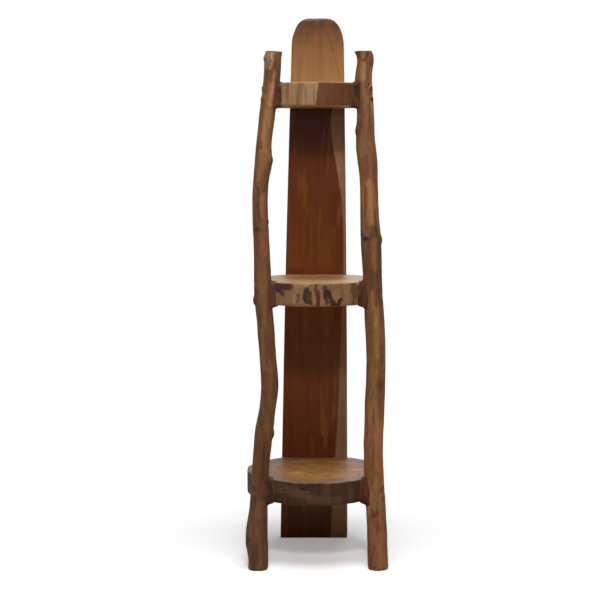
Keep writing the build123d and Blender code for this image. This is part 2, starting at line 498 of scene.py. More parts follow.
def cut(piece: bpy.types.Object, cutters: list[bpy.types.Object], operation: str) -> None:
    """Cuts a piece with other objects, which are used up.

    Args:
        piece: The piece.
        cutters: What it is cut with.
        operation: The Boolean modifier's operation.
    """
    join(cutters[0], cutters[1:])
    apply_modifier(piece, "BOOLEAN", object=cutters[0], operation=operation, solver="EXACT")
    bpy.data.objects.remove(cutters[0])


@dataclass(frozen=True)
class Unevenness:
    """A soft waviness of a surface: the size of its waves on each axis, and how deep they go."""

    waves: Point
    depth: float
    shift: float = 0.0
    detail: int = 2
    outward: float = 0.5

    def apply(self, piece: bpy.types.Object, direction: str = "NORMAL", group: str = "") -> None:
        """Works the waviness into a piece.

        Args:
            piece: The piece.
            direction: The Displace modifier's direction.
            group: A vertex group that limits it, or nothing.
        """
        clouds = bpy.data.textures.new("waves", "CLOUDS")
        clouds.noise_scale = 1.0
        clouds.noise_depth = self.detail
        ruler = bpy.data.objects.new("ruler", None)
        bpy.context.scene.collection.objects.link(ruler)
        ruler.scale = self.waves
        ruler.location = (self.shift, self.shift, self.shift)
        bpy.context.view_layer.update()
        apply_modifier(
            piece,
            "DISPLACE",
            texture=clouds,
            texture_coords="OBJECT",
            texture_coords_object=ruler,
            direction=direction,
            space="LOCAL",
            mid_level=1 - self.outward,
            strength=self.depth,
            vertex_group=group,
        )
        bpy.data.objects.remove(ruler)
        bpy.data.textures.remove(clouds)


def places_of(piece: bpy.types.Object) -> np.ndarray:
    """The places of a piece's vertices, one row each."""
    flat = np.zeros(len(piece.data.vertices) * 3)
    piece.data.vertices.foreach_get("co", flat)
    return flat.reshape(-1, 3)


def keep_inside(piece: bpy.types.Object, low: Vector, high: Vector) -> None:
    """Presses a piece's vertices into a box."""
    places = np.clip(places_of(piece), np.array(low), np.array(high))
    piece.data.vertices.foreach_set("co", places.ravel())
    piece.data.update()


def dress(piece: bpy.types.Object, finish: bpy.types.Material, slot: Slot, *nodes: str) -> None:
    """Gives a finished piece its material and its body, and hides the CAD nodes that it stands for.

    Args:
        piece: The piece.
        finish: Its material.
        slot: The record's slot; not used.
        nodes: The CAD nodes that it replaces.
    """
    piece.data.materials.clear()
    piece.data.materials.append(finish)
    pick_only(piece)
    bpy.ops.object.shade_smooth_by_angle(angle=SMOOTH_ANGLE)
    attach(piece, "root")
    if nodes:
        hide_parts(*nodes)
    log.info("%s: %d faces", piece.name, len(piece.data.polygons))


@dataclass(frozen=True)
class BranchWood:
    """Peeled branch, oiled: long pale, golden and reddish streaks on brown, with dark knots."""

    knots: tuple[tuple[Point, float, float, float], ...]
    marks: tuple[Stain, ...]
    tone_and_shade_levels: tuple[tuple[float, float], ...]
    top: float
    shift: float
    pale: Colour = tone(172, 128, 86)
    golden: Colour = tone(142, 98, 54)
    brown: Colour = tone(115, 73, 40)
    umber: Colour = tone(90, 53, 28)
    dark: Colour = tone(58, 32, 18)
    red: Colour = tone(122, 60, 38)
    knot: Colour = tone(50, 27, 15)
    end_grain: Colour = tone(104, 78, 56)
    end_band: tuple[float, float] = (0.014, 0.006)

    def material(self, name: str) -> bpy.types.Material:
        """Makes the finish.

        Args:
            name: The material's name.

        Returns:
            The material.
        """
        shader = Shader(name)
        shift = self.shift
        bands = shader.grain(62, 0.12, (shift, 0.0, 0.0), detail=4, rough=0.6, twist=0.5)
        fibres = shader.grain(430, 0.05)
        patches = shader.grain(26, 0.4, (0.0, shift, 0.0), detail=4)
        flecks = shader.grain(260, 0.3, (shift, 0.0, 0.0))
        reds = shader.grain(48, 0.18, (0.0, 0.0, shift))
        check = shader.grain(170, 0.045, (shift, shift, 0.0), detail=2).step(0.36, 0.30)
        level = bands.spread(2.4) * 0.5 + patches.spread(2.4) * 0.34 + flecks.spread(2.2) * 0.16
        stops = [(0.0, self.dark), (0.22, self.umber), (0.46, self.brown), (0.72, self.golden),
                 (1.0, self.pale)]
        colour = shader.ramp(level, stops)
        colour = shader.mix(reds.step(0.53, 0.64) * 0.6, colour, self.red)
        colour = shader.mix(check * 0.6, colour, self.dark)
        # Brightness by height: partly the wood's own tone, partly painted light and shade.
        colour = shader.shaded(colour, shader.by_height(self.tone_and_shade_levels) * (0.84 + fibres * 0.32))
        colour = self.marked(shader, colour, bands)
        colour = self.knotted(shader, colour, bands)
        top_low, top_high = (self.top - below for below in self.end_band)
        end = shader.facing("Z").step(0.75, 0.9) * shader.z.step(top_low, top_high)
        end_grain = shader.shaded(self.end_grain, 0.6 + patches * 0.8)
        colour = shader.mix(end * 0.85, colour, end_grain)
        relief = bands * 0.9 + fibres * 0.2 + flecks * 0.35 - check * 0.5
        return shader.finish(colour, 0.42 + bands * 0.22, relief, bump=0.6, depth=0.0016,
                             Coat_Weight=0.05, Coat_Roughness=0.3, Specular_IOR_Level=0.22)

    def marked(self, shader: Shader, colour: Value, bands: Value) -> Value:
        """The colour with the marks that face the front laid over it.

        Args:
            shader: The material that they are drawn in.
            colour: The colour under them.
            bands: A noise that frays them.

        Returns:
            The colour.
        """
        front = shader.facing("Y").step(0.1, -0.25)
        fray = shader.grain(210, 0.3, detail=4, rough=0.7)
        right = shader.x + (fray - 0.5) * 0.009 + (bands - 0.5) * 0.006
        up = shader.z + (bands - 0.5) * 0.03
        for mark in self.marks:
            mask = mark.mask(right, up, edge=1.0, core=0.1) * front * (0.1 + fray * 1.5)
            colour = shader.mix(mask.clamped(), colour, mark.colour)
        return colour

    def knotted(self, shader: Shader, colour: Value, bands: Value) -> Value:
        """The colour with a dark eye and a ring at each knot.

        Args:
            shader: The material that they are drawn in.
            colour: The colour under them.
            bands: A noise that frays them.

        Returns:
            The colour.
        """
        for centre, radius, stretch, darkness in self.knots:
            scale = (1 / radius, 1 / radius, 1 / (radius * stretch))
            middle = shader.vector("SUBTRACT", {0: shader.place, 1: centre})
            shaped = shader.vector("MULTIPLY", {0: middle, 1: scale})
            distance = shader.vector("LENGTH", {0: shaped}, output="Value")
            uneven = distance + (bands - 0.5) * 1.1
            colour = shader.mix(uneven.step(1.1, 0.35) * darkness, colour, self.knot)
            ring = uneven.step(0.8, 1.05) * uneven.step(1.6, 1.1)
            colour = shader.mix(ring * 0.4 * darkness, colour, self.dark)
        return colour


@dataclass(frozen=True)
class SliceWood:
    """A sanded log slice: growth rings round a darker heart above, and a live edge round it."""

    centre: tuple[float, float]
    top: float
    thickness: float
    heart: float
    sap_colour: Colour
    heart_colour: Colour
    ray_colour: Colour
    side_colour: Colour
    side_dark: Colour
    side_pale: Colour
    stains: tuple[Stain, ...] = ()
    right_side_colour: Colour | None = None
    right_side_start: tuple[float, float] = (0.0018, 0.0048)
    # Painted shade along the live edge's lower rim: its span above the bottom face, and its
    # strength.
    shaded_low_rim: tuple[float, float] = (0.002, 0.009)
    low_rim_shade: float = 0.9
    ring_pitch: float = 0.0052
    shift: float = 0.0

    def material(self, name: str) -> bpy.types.Material:
        """Makes the finish.

        Args:
            name: The material's name.

        Returns:
            The material.
        """
        shader = Shader(name)
        flat = abs(shader.facing("Z")).step(0.55, 0.8)
        colour = shader.mix(flat, self.edge(shader), self.sawn(shader))
        drift = shader.grain(60, 1.0, (self.shift, 0.0, 0.0), detail=4)
        fibres = shader.grain(380, 0.08, detail=2)
        relief = shader.noise(shader.place, 500, detail=2) * flat * 0.4 + fibres * (1 - flat)
        return shader.finish(colour, 0.4 + drift * 0.2, relief, bump=0.3, depth=0.001,
                             Coat_Weight=0.05, Coat_Roughness=0.3, Specular_IOR_Level=0.15)

    def sawn(self, shader: Shader) -> Value:
        """The colour of the sawn faces.

        Args:
            shader: The material that it is drawn in.

        Returns:
            The colour.
        """
        right, back = shader.x - self.centre[0], shader.y - self.centre[1]
        shift = self.shift
        wander = shader.grain(14, 0.2, (shift, 0.0, 0.0), detail=2)
        reach = (right ** 2.0 + back ** 2.0).sum("SQRT") + (wander - 0.5) * 0.03
        angle = back.sum("ARCTAN2", right)
        turns = reach * (2 * pi / self.ring_pitch) + wander * 9.0
        rings = (turns.sum("SINE") * 0.5 + 0.5) ** 2.0
        wheel = shader.node("ShaderNodeCombineXYZ", inputs={"X": angle, "Y": reach * 3.0})
        rays = shader.noise(wheel, 26, detail=3, rough=0.6)
        blotches = shader.stretched((1.0, 1.6, 1.0), (0.0, shift, 0.0))
        blotch = shader.noise(blotches, 22, detail=4, rough=0.6)
        heart = (reach + (blotch - 0.5) * 0.03).step(self.heart * 1.08, self.heart * 0.86)
        colour = shader.mix(heart, self.sap_colour, self.heart_colour)
        pale = (blotch.step(0.5, 0.68) * heart * 0.8).clamped()
        colour = shader.mix(pale, colour, self.ray_colour)
        clouds = shader.stretched((1.0, 2.2, 1.0), (shift, shift, 0.0))
        smoke = shader.noise(clouds, 26, detail=5, rough=0.6, twist=0.8)
        colour = shader.mix(smoke.step(0.50, 0.66) * 0.42, colour, self.side_colour)
        level = 1.08 - rings * 0.16 + (rays - 0.5) * 0.75 + (blotch - 0.5) * 0.45
        return shader.shaded(colour, level)

    def edge(self, shader: Shader) -> Value:
        """The colour of the live edge.

        Args:
            shader: The material that it is drawn in.

        Returns:
            The colour.
        """
        shift = self.shift
        streaks = shader.grain(75, 0.09, (shift, 0.0, 0.0), detail=4, rough=0.62)
        lines = shader.grain(260, 0.03, (0.0, shift, 0.0), detail=2)
        cloudy = shader.grain(30, 0.8, (0.0, 0.0, shift), detail=4)
        colour = shader.mix(streaks.step(0.52, 0.66) * 0.7, self.side_colour, self.side_dark)
        pale = streaks.step(0.48, 0.36) * cloudy.step(0.4, 0.6)
        colour = shader.mix(pale * 0.6, colour, self.side_pale)
        if self.right_side_colour:
            slant = shader.x - (shader.z - self.top) * 0.13 + (streaks - 0.5) * 0.008
            dim = shader.shaded(self.right_side_colour, 0.75 + streaks * 0.5)
            colour = shader.mix(slant.step(*self.right_side_start), colour, dim)
        # Painted shade: the live edge darkened along its lower rim, where it turns under.
        bottom = self.top - self.thickness
        shaded_low_rim = shader.z.step(bottom + self.shaded_low_rim[1], bottom + self.shaded_low_rim[0])
        colour = shader.mix(shaded_low_rim * cloudy * self.low_rim_shade, colour, self.side_dark)
        colour = shader.shaded(colour, 0.62 + cloudy.spread(1.8) * 0.36 + lines * 0.38)
        if not self.stains:
            return colour
        front = (shader.y - self.centre[1]).step(0.0, -0.01)
        fray = shader.grain(170, 0.55, detail=4, rough=0.65)
        sway = shader.grain(60, 1.0, (shift, 0.0, 0.0), detail=2)
        right = shader.x + (fray - 0.5) * 0.008 + (sway - 0.5) * 0.012
        up = shader.z + (cloudy - 0.5) * 0.012 + (fray - 0.5) * 0.010
        for stain in self.stains:
            mask = stain.mask(right, up) * front * (0.7 + streaks * 0.6)
            colour = shader.mix(mask.clamped(), colour, stain.colour)
        return colour


@dataclass(frozen=True)
class BoardWood:
    """A flat-sawn plank, oiled and rubbed to a satin: arched grain and a pale strip of sapwood."""

    arch_middle: float = 0.004
    arch_width: float = 0.0134
    arch_top: float = 1.0
    ring_spacing: float = 0.150
    # Painted reflection: the heights of the slices' tops, round which a red band paints the slice's
    # top reflected in the glossy board.
    slice_reflection_lines: tuple[float, ...] = (0.160, 0.515)
    slice_reflection_band: tuple[float, ...] = (-0.020, -0.010, 0.010, 0.017)
    # The board's colour by height: the heartwood's tone with painted light and shade in it. The
    # dark band from 0.79 to 0.84, under the top slice, is painted shadow; the lift at 0.34, against
    # the middle slice's shadow, is painted light; the light band just above the top slice,
    # darkening towards the crown's tip, is partly painted bounce light from the slice and partly
    # the wood's tone.
    heartwood_light_and_shade: tuple[tuple[float, Colour], ...] = (
        (0.00, tone(106, 66, 29)),
        (0.12, tone(108, 65, 29)),
        (0.20, tone(99, 45, 9)),
        (0.34, tone(117, 61, 19)),
        (0.45, tone(128, 67, 30)),
        (0.55, tone(131, 70, 29)),
        (0.65, tone(115, 59, 21)),
        (0.74, tone(110, 52, 16)),
        (0.79, tone(86, 35, 9)),
        (0.84, tone(71, 30, 9)),
        (0.875, tone(172, 125, 77)),
        (0.930, tone(158, 111, 63)),
        (0.965, tone(127, 85, 50)),
        (0.985, tone(104, 65, 32)),
        (1.000, tone(96, 58, 27)),
    )
    # The sapwood's brightness by height, with painted light and shade: darker between the two lower
    # slices and under the top slice, lighter at the foot and towards 0.74.
    sap_light_and_shade: tuple[tuple[float, float], ...] = (
        (0.00, 1.10), (0.12, 1.15), (0.20, 0.74), (0.45, 0.84), (0.55, 1.0), (0.74, 1.20),
        (0.79, 0.92), (0.83, 0.58), (0.88, 1.0),
    )
    # A red tone for the board's drifting patches, and for the painted reflection bands at the
    # slices' tops.
    red_tone_and_reflection: Colour = tone(112, 44, 22)
    golden_colour: Colour = tone(150, 88, 40)
    sap_colour: Colour = tone(164, 122, 84)
    line_colour: Colour = tone(92, 56, 30)
    sap_low: float = -0.07
    sap_high: float = 0.07
    sap_edge: tuple[tuple[float, float], ...] = (
        (0.015, 0.0285),
        (0.165, 0.040),
        (0.300, 0.046),
        (0.450, 0.051),
        (0.520, 0.054),
        (0.650, 0.052),
        (0.740, 0.037),
        (0.820, 0.021),
        (0.880, 0.058),
    )

    def material(self, name: str) -> bpy.types.Material:
        """Makes the finish.

        Args:
            name: The material's name.

        Returns:
            The material.
        """
        shader = Shader(name)
        drift = shader.grain(24, 0.22)
        flames = shader.grain(52, 0.13, (0.7, 0.0, 0.0), twist=0.4)
        streaks = shader.grain(95, 0.03, detail=4, rough=0.6)
        pores = shader.grain(900, 0.035, detail=2)
        across = shader.x - self.arch_middle + (drift - 0.5) * 0.018
        reach = shader.z + across ** 2.0 / self.arch_width + (drift - 0.5) * 0.03 - self.arch_top
        ring = (reach / self.ring_spacing + (flames - 0.5) * 0.35 + 20.0).sum("FRACT")
        late = ring.step(0.86, 0.99) * ring.step(1.0, 0.99) * (0.4 + drift.spread(3.0) * 0.6)
        rear = shader.facing("Y").step(0.0, 0.6)
        height = shader.z + (flames.spread(2.0) - 0.5) * rear * 0.3
        high = height.step(0.84, 0.87)
        # Painted light and shade by height come in with this ramp.
        colour = shader.ramp(height, list(self.heartwood_light_and_shade))
        colour = shader.mix(drift.step(0.5, 0.62) * (1 - high) * 0.55, colour, self.red_tone_and_reflection)
        golden = flames.step(0.54, 0.66) * (0.45 - high * 0.2)
        colour = shader.mix(golden, colour, self.golden_colour)
        colour = shader.mix(late * (0.3 + high * 0.35), colour, self.line_colour)
        # Painted reflection: a red band round each slice's top, where the slice would show in the
        # board's gloss.
        for top in self.slice_reflection_lines:
            low, full, fading, high_end = (top + offset for offset in self.slice_reflection_band)
            slice_reflection = (shader.z + (streaks - 0.5) * 0.006).step(high_end, fading)
            slice_reflection = slice_reflection * shader.z.step(low, full)
            colour = shader.mix(slice_reflection * 0.5, colour, self.red_tone_and_reflection)
        # The sapwood strip, with painted light and shade by height.
        sap_colour = shader.shaded(self.sap_colour, shader.by_height(self.sap_light_and_shade))
        colour = shader.mix(self.sapwood(shader, streaks) * 0.85, colour, sap_colour)
        colour = shader.shaded(colour, 0.9 + (streaks - 0.5) * 0.55 + (pores - 0.5) * 0.26)
        relief = pores * 0.5 + late * 0.3
        return shader.finish(colour, 0.25 + streaks * 0.16, relief, bump=0.12, depth=0.0006,
                             Coat_Weight=0.08, Coat_Roughness=0.12, Specular_IOR_Level=0.1)

    def sapwood(self, shader: Shader, streaks: Value) -> Value:
        """Where the sapwood is.

        Args:
            shader: The material that it is drawn in.
            streaks: A noise that frays its edge.

        Returns:
            1 on the sapwood and 0 elsewhere.
        """
        span = self.sap_high - self.sap_low
        shares = [(height, (edge - self.sap_low) / span) for height, edge in self.sap_edge]
        stops = [(height, (share, share, share, 1.0)) for height, share in shares]
        edge = shader.ramp(shader.z, stops, ease="B_SPLINE") * span + self.sap_low
        return (shader.x - edge + (streaks - 0.5) * 0.006).step(-0.0012, 0.0012)


@dataclass(frozen=True)
class JointPaste:
    """Glue and sawdust, stained dark brown and smoothed with a finger."""

    colour: Colour = tone(82, 46, 24)
    red: Colour = tone(78, 34, 17)
    dark: Colour = tone(43, 21, 10)

    def material(self, name: str) -> bpy.types.Material:
        """Makes the finish.

        Args:
            name: The material's name.

        Returns:
            The material.
        """
        shader = Shader(name)
        lumps = shader.grain(85, 0.5, detail=4)
        smears = shader.grain(120, 0.3, (1.3, 0.0, 0.0))
        dust = shader.noise(shader.place, 900, detail=2)
        colour = shader.mix(lumps.step(0.38, 0.6), self.dark, self.colour)
        colour = shader.mix(smears.step(0.5, 0.62) * 0.6, colour, self.red)
        colour = shader.shaded(colour, 0.8 + dust * 0.4)
        return shader.finish(colour, 0.42 + dust * 0.25, lumps + dust * 0.2, bump=0.35, depth=0.001,
                             Specular_IOR_Level=0.2)


@dataclass(frozen=True)
class ScrewSteel:
    """Dull zinc-plated steel, a little stained."""

    bright: Colour = tone(140, 136, 128)
    stained: Colour = tone(70, 58, 46)

    def material(self, name: str) -> bpy.types.Material:
        """Makes the finish.

        Args:
            name: The material's name.

        Returns:
            The material.
        """
        shader = Shader(name)
        spots = shader.noise(shader.place, 700, detail=4)
        scratches = shader.noise(shader.stretched((1.0, 0.2, 1.0)), 2500, detail=2)
        colour = shader.mix(spots.step(0.35, 0.7), self.bright, self.stained)
        return shader.finish(colour, 0.35 + spots * 0.3, scratches, bump=0.2, depth=0.0002,
                             Metallic=0.9)


@dataclass
class Branch:
    """A peeled branch, which is a front leg."""

    side: Side
    shift: float
    knots: tuple[Knot, ...]
    marks: tuple[Stain, ...]
    tone_and_shade_levels: tuple[tuple[float, float], ...]
    top_slope: float
    cell: float = 0.0018
    smooth_steps: int = 5
    recess_radius: float = 0.0042
    recess_floor: float = 0.0006
    recess_mouth: float = 0.012
    plug_radius: float = 0.0056
    plug_length: float = 0.012
    plug_stand: float = 0.0012
    screw_sink: float = 0.002
    end_trim: float = 0.0016
    end_below: float = 0.006
    slab_half: float = 0.003
    probe: float = 0.080
    usual_radius: float = 0.015
    saw_half: float = 0.05
    waves: tuple[Unevenness, ...] = (
        Unevenness((0.022, 0.022, 0.11), 0.0026),
        Unevenness((0.010, 0.010, 0.07), 0.0018, shift=0.3),
    )

    @property
    def node(self) -> str:
        """The CAD node that this branch replaces."""
        return f"{self.side.value}_post"

    def centre(self, places: np.ndarray, height: float) -> Vector:
        """The middle of the branch at a height.

        Args:
            places: The places of the branch's vertices.
            height: The height.

        Returns:
            The middle.
        """
        near = places[np.abs(places[:, 2] - height) < self.slab_half]
        low, high = near.min(0), near.max(0)
        return Vector(((low[0] + high[0]) / 2, (low[1] + high[1]) / 2, height))

    def surface(
        self, piece: bpy.types.Object, places: np.ndarray, knot: Knot
    ) -> tuple[Vector, Vector]:
        """Where a knot sits on the branch's skin, and which way it faces.

        Args:
            piece: The branch.
            places: The places of its vertices.
            knot: The knot.

        Returns:
            The place and the direction.
        """
        bearing = radians(knot.bearing)
        outward = Vector((sin(bearing), -cos(bearing), 0.0))
        middle = self.centre(places, knot.height)
        found, place, _, _ = piece.ray_cast(middle + outward * self.probe, -outward)
        return (place if found else middle + outward * self.usual_radius), outward

    def build(
        self, open_screws: list[tuple[Vector, Vector]], stopped_screws: list[tuple[Vector, Vector]]
    ) -> bpy.types.Object:
        """Shapes the branch.

        Args:
            open_screws: The middle of the head, and the way it faces, of each screw that shows.
            stopped_screws: The same for the screws that are stopped with paste.

        Returns:
            The finished piece.
        """
        piece = copy_of(self.node, f"{self.side.value}_peeled_branch")
        low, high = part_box(self.node)
        join(piece, [self.plug(*screw) for screw in stopped_screws + open_screws])
        apply_modifier(piece, "REMESH", mode="VOXEL", voxel_size=self.cell)
        places = places_of(piece)
        spots, humps = [], []
        for knot in self.knots:
            place, outward = self.surface(piece, places, knot)
            spots.append((tuple(place), knot.radius, knot.stretch, knot.dark))
            if knot.stand:
                humps.append(self.hump(place - outward * knot.radius * (1 - knot.stand), knot))
        join(piece, humps)
        remesh(piece, self.cell, self.smooth_steps)
        for wave in self.waves:
            wave.apply(piece)
        cut(piece, [self.saw(self.centre(places, high.z - self.end_below), high.z)], "DIFFERENCE")
        if open_screws:
            cut(piece, [self.recess(*screw) for screw in open_screws], "DIFFERENCE")
        keep_inside(piece, low, high)
        finish = BranchWood(tuple(spots), self.marks, self.tone_and_shade_levels, high.z, self.shift)
        dress(piece, finish.material(f"{self.side.value}_branch_wood"), Slot.BRANCH, self.node)
        return piece

    def hump(self, middle: Vector, knot: Knot) -> bpy.types.Object:
        """The swelling of a knot, before it is blended into the branch."""
        bpy.ops.mesh.primitive_uv_sphere_add(
            segments=24, ring_count=12, radius=knot.radius, location=middle,
            scale=(1.0, 1.0, knot.stretch),
        )
        return settled()

    def saw(self, middle: Vector, top: float) -> bpy.types.Object:
        """A cutter that saws the branch's end off, a little aslant."""
        place = (middle.x, middle.y, top - self.end_trim + self.saw_half)
        bpy.ops.mesh.primitive_cube_add(
            size=2 * self.saw_half, location=place, rotation=(0, self.top_slope, 0)
        )
        return settled()

    def plug(self, head: Vector, outward: Vector) -> bpy.types.Object:
        """The wood and paste that fill a counterbore flush with the branch."""
        middle = head + outward * (self.screw_sink + self.plug_stand - self.plug_length / 2)
        return self.rod(middle, outward, self.plug_radius, self.plug_length)

    def recess(self, head: Vector, outward: Vector) -> bpy.types.Object:
        """A cutter for the counterbore in front of a screw's head."""
        depth = self.recess_mouth + self.recess_floor
        middle = head + outward * (depth / 2 - self.recess_floor)
        return self.rod(middle, outward, self.recess_radius, depth)

    def rod(self, middle: Vector, along: Vector, radius: float, length: float) -> bpy.types.Object:
        """A short round rod.

        Args:
            middle: Its middle.
            along: The way it points.
            radius: Its radius.
            length: Its length.

        Returns:
            The rod.
        """
        turn = along.to_track_quat("Z", "Y").to_euler()
        bpy.ops.mesh.primitive_cylinder_add(
            vertices=32, radius=radius, depth=length, location=middle, rotation=turn
        )
        return settled()


@dataclass
class LogSlice:
    """A slice of a log, sawn flat at the back and let in for the branches."""

    name: str
    heart: float
    colours: dict[str, Colour]
    stains: tuple[Stain, ...] = ()
    shift: float = 0.0
    cracks: tuple[tuple[float, float, float], ...] = ()
    pits: tuple[tuple[float, float], ...] = ()
    pit_radius: float = 0.0024
    pit_shape: Point = (1.2, 1.6, 0.8)
    check_past_rim: float = 0.002
    check_height: float = 1.2
    low_rim_shade: float = 0.9
    cell: float = 0.0018
    smooth_steps: int = 3
    rim_waves: tuple[Unevenness, ...] = (
        Unevenness((0.055, 0.055, 0.4), 0.0060, shift=0.6, outward=0.35),
        Unevenness((0.022, 0.022, 0.2), 0.0034, outward=0.4),
        Unevenness((0.009, 0.009, 0.05), 0.0018, shift=0.2, outward=0.4),
    )
    rim_turn: float = 0.5
    rim_shares: tuple[float, float] = (0.70, 0.95)
    board_gap: tuple[float, float] = (0.004, 0.026)
    face_wave: Unevenness = Unevenness((0.05, 0.05, 0.05), 0.0008, outward=0.0)

    @property
    def node(self) -> str:
        """The CAD node that this slice replaces."""
        return f"{self.name}_shelf"

    def build(self) -> bpy.types.Object:
        """Shapes the slice.

        Returns:
            The finished piece.
        """
        low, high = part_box(self.node)
        radius = (high.x - low.x) / 2
        centre = Vector(((low.x + high.x) / 2, low.y + radius, 0.0))
        piece = copy_of(self.node, f"{self.name}_log_slice")
        remesh(piece, self.cell, self.smooth_steps)
        self.free_rim(piece, centre, radius, high.y)
        for wave in self.rim_waves:
            wave.apply(piece, "X", "free_rim")
            replace(wave, shift=wave.shift + self.rim_turn).apply(piece, "Y", "free_rim")
        self.face_wave.apply(piece)
        cutters = self.checks(centre, radius, low.z, high.z)
        cutters += [self.pit(piece, right, height) for right, height in self.pits]
        for cutter in cutters:
            cut(piece, [cutter], "DIFFERENCE")
        keep_inside(piece, low, high)
        finish = SliceWood(
            centre=(centre.x, centre.y), top=high.z, thickness=high.z - low.z, heart=self.heart,
            stains=self.stains, shift=self.shift, low_rim_shade=self.low_rim_shade, **self.colours,
        )
        dress(piece, finish.material(f"{self.name}_slice_wood"), Slot.SLICE, self.node)
        return piece

    def free_rim(
        self, piece: bpy.types.Object, centre: Vector, radius: float, board: float
    ) -> None:
        """Marks the live edge, fading out towards the heart and the board.

        Args:
            piece: The slice.
            centre: The middle of its rim.
            radius: The rim's radius.
            board: How far back its flat for the board lies.
        """
        places = places_of(piece)
        reach = np.hypot(places[:, 0] - centre.x, places[:, 1] - centre.y)
        start, full = (share * radius for share in self.rim_shares)
        near_rim = np.clip((reach - start) / (full - start), 0, 1)
        start, full = self.board_gap
        off_board = np.clip((board - places[:, 1] - start) / (full - start), 0, 1)
        group = piece.vertex_groups.new(name="free_rim")
        for index, weight in enumerate(near_rim * off_board):
            if weight > 0:
                group.add([index], float(weight), "REPLACE")

    def checks(
        self, centre: Vector, radius: float, bottom: float, top: float
    ) -> list[bpy.types.Object]:
        """Makes the cutters for the drying checks that run in from the rim.

        Args:
            centre: The middle of the slice's rim.
            radius: The rim's radius.
            bottom: The height of the slice's lower face.
            top: The height of its upper face.

        Returns:
            The cutters.
        """
        made = []
        for bearing, length, width in self.cracks:
            angle = radians(bearing)
            outward = Vector((sin(angle), -cos(angle), 0.0))
            middle = centre + outward * (radius + self.check_past_rim - length / 2)
            middle.z = (bottom + top) / 2
            bpy.ops.mesh.primitive_cone_add(
                vertices=3, radius1=1.0, radius2=1.0, depth=(top - bottom) * self.check_height,
                location=middle, rotation=(0, 0, angle + pi),
            )
            bpy.context.object.scale = (width, length / TRIANGLE_HEIGHT, 1.0)
            made.append(settled())
        return made

    def pit(self, piece: bpy.types.Object, right: float, height: float) -> bpy.types.Object:
        """Makes the cutter for a borer's hole in the live edge, where the front shows it.

        Args:
            piece: The slice.
            right: How far right the hole is.
            height: How high it is.

        Returns:
            The cutter.
        """
        start = Vector((right, -1.0, height))
        _, place, _, _ = piece.ray_cast(start, Vector((0.0, 1.0, 0.0)))
        bpy.ops.mesh.primitive_uv_sphere_add(
            segments=16, ring_count=8, radius=self.pit_radius, location=place, scale=self.pit_shape
        )
        return settled()


@dataclass
class TongueBoard:
    """The tapered plank at the back, with a rounded crown."""

    node: str = "back_board"
    cell: float = 0.0022
    smooth_steps: int = 3
    waves: tuple[Unevenness, ...] = (Unevenness((0.04, 0.04, 0.2), 0.0008, outward=0.0),)

    def build(self) -> bpy.types.Object:
        """Shapes the plank.

        Returns:
            The finished piece.
        """
        low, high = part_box(self.node)
        piece = copy_of(self.node, "tongue_board")
        remesh(piece, self.cell, self.smooth_steps)
        for wave in self.waves:
            wave.apply(piece)
        keep_inside(piece, low, high)
        dress(piece, BoardWood().material("board_wood"), Slot.BOARD, self.node)
        return piece


@dataclass
class PastedJoint:
    """The paste that fills the corner between a branch and a slice."""

    slice_name: str
    side: Side
    cell: float = 0.0014
    reach: Point = (0.030, 0.030, 0.033)
    margin: float = 0.014
    core_half: Point = (0.040, 0.040, 0.0235)
    lean: float = 0.0120
    settle: float = 0.0003
    smooth_steps: int = 60
    lumps: Unevenness = Unevenness((0.012, 0.012, 0.020), 0.0012, outward=0.4)

    @property
    def node(self) -> str:
        """The CAD node that this paste replaces."""
        return f"{self.slice_name}_{self.side.value}_joint_filler"

    def build(
        self, branch: bpy.types.Object, log_slice: bpy.types.Object, finish: bpy.types.Material
    ) -> bpy.types.Object:
        """Shapes the paste: branch, slice and a core of paste as one skin, smoothed.

        Smoothing lowers what bulges and fills what is hollow, so the skin comes out only where
        the branch and the slice meet.

        Args:
            branch: The finished branch.
            log_slice: The finished slice.
            finish: The paste's material.

        Returns:
            The finished piece.
        """
        low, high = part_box(self.node)
        middle = (low + high) / 2
        block_half = [reach + self.margin for reach in self.reach]
        piece = self.near(branch, middle, block_half, f"{self.slice_name}_{self.side.value}_paste")
        parts = [self.near(log_slice, middle, block_half), self.core(branch, middle)]
        join(piece, parts)
        remesh(piece, self.cell, self.smooth_steps)
        self.lumps.apply(piece)
        apply_modifier(piece, "DISPLACE", strength=-self.settle, mid_level=0.0)
        bpy.ops.mesh.primitive_uv_sphere_add(
            segments=32, ring_count=16, radius=1.0, location=middle, scale=self.reach
        )
        cut(piece, [settled()], "INTERSECT")
        dress(piece, finish, Slot.PASTE, self.node)
        return piece

    def core(self, branch: bpy.types.Object, middle: Vector) -> bpy.types.Object:
        """The bulk of the paste: the branch's own shape, moved towards the slice and the middle.

        Args:
            branch: The finished branch.
            middle: The middle of the joint.

        Returns:
            The bulk, not yet rounded off.
        """
        low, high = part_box(f"{self.slice_name}_shelf")
        radius = (high.x - low.x) / 2
        inward = Vector(((low.x + high.x) / 2 - middle.x, low.y + radius - middle.y, 0.0))
        core = self.near(branch, middle, list(self.core_half))
        sideways = Vector((inward.x, 0.0, 0.0)).normalized()
        core.location = (inward.normalized() + sideways).normalized() * self.lean
        pick_only(core)
        bpy.ops.object.transform_apply()
        return core

    def near(
        self, neighbour: bpy.types.Object, middle: Vector, half: list[float], name: str = "near"
    ) -> bpy.types.Object:
        """The part of a finished neighbour that lies in a block round the joint.

        Args:
            neighbour: The branch or the slice.
            middle: The middle of the joint.
            half: Half of the block's size on each axis.
            name: The part's name.

        Returns:
            The part.
        """
        part = twin(neighbour, name)
        bpy.ops.mesh.primitive_cube_add(size=2.0, location=middle, scale=half)
        cut(part, [settled()], "INTERSECT")
        return part


